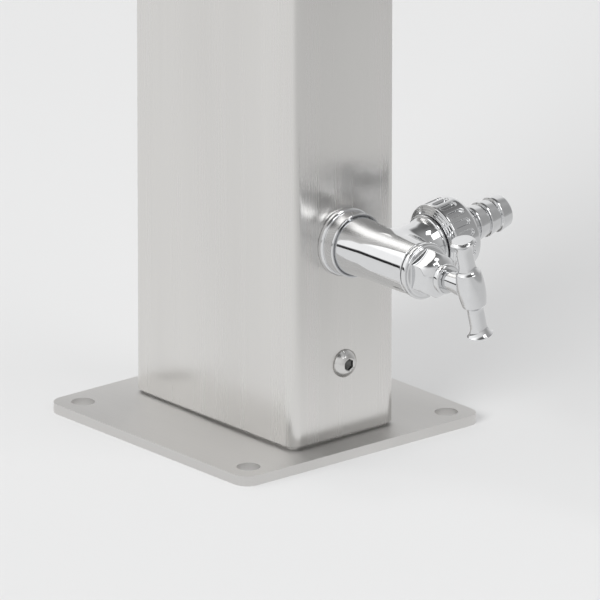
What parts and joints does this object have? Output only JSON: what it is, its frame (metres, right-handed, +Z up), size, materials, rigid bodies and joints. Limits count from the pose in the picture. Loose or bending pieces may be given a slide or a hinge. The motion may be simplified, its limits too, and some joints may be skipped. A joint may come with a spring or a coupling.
{
  "type": "garden water post",
  "caption": "Rectangular stainless water post on a square base plate, with a chromed hose tap low on its narrow face.",
  "frame": {"origin": "centre of the base plate's underside, at the middle of its four fixing holes", "axes": "+Z up along the post, -Y the narrow face with the tap, +X the side that the hose branch points to"},
  "size_m": [0.15, 0.2349, 1],
  "materials": {
    "brushed_steel": "vertical brushed grain, satin",
    "plain_steel": "bare, as rolled",
    "screw_steel": "bright stainless, turned",
    "chrome": "polished chrome plate on brass",
    "brass": "machined",
    "copper": "drawn copper tube, slightly dull",
    "rubber": "matt black",
    "fibre": "pressed fibre, matt"
  },
  "bodies": {
    "post": {"base_plate": "brushed_steel", "base_socket": "brushed_steel", "weld_nut": "plain_steel", "post_tube": "brushed_steel", "top_cap": "brushed_steel", "fixing_screw": "screw_steel", "tap_rosette": "chrome", "tap_body": "chrome", "backing_washer": "plain_steel", "lock_nut": "brass", "supply_elbow": "brass", "elbow_seal": "fibre", "supply_pipe": "copper", "compression_ring": "brass", "compression_nut": "brass", "inlet_socket": "brass", "bonnet": "chrome", "bonnet_gasket": "rubber", "gland_packing": "rubber", "gland_nut": "chrome"},
    "handle": {"spindle": "brass", "tee_handle": "chrome"},
    "valve": {"valve_plunger": "brass", "seat_washer": "rubber", "washer_nut": "brass"},
    "tail": {"hose_tail": "chrome", "tail_washer": "rubber"},
    "nut": {"union_nut": "chrome"}
  },
  "joints": [
    {"name": "handle_turn", "type": "hinge", "parent": "post", "child": "handle", "pos_m": [0, -0.06, 0.105], "axis": [0, -1, 0], "range_deg": [0, 810]},
    {"name": "valve_lift", "type": "slide", "parent": "post", "child": "valve", "axis": [0, -1, 0], "range_m": [0, 0.00562]},
    {"name": "tail_draw", "type": "slide", "parent": "post", "child": "tail", "axis": [0.9903, 0, 0.1392], "range_m": [0, 0.00726]},
    {"name": "nut_turn", "type": "hinge", "parent": "tail", "child": "nut", "pos_m": [0, -0.0954, 0.105], "axis": [0.9903, 0, 0.1392], "range_deg": [0, 1440]}
  ],
  "couplings": [
    {"joint": "handle_turn", "follows": "valve_lift", "rad_per_m": 2513.3},
    {"joint": "nut_turn", "follows": "tail_draw", "rad_per_m": 3463.2}
  ]
}
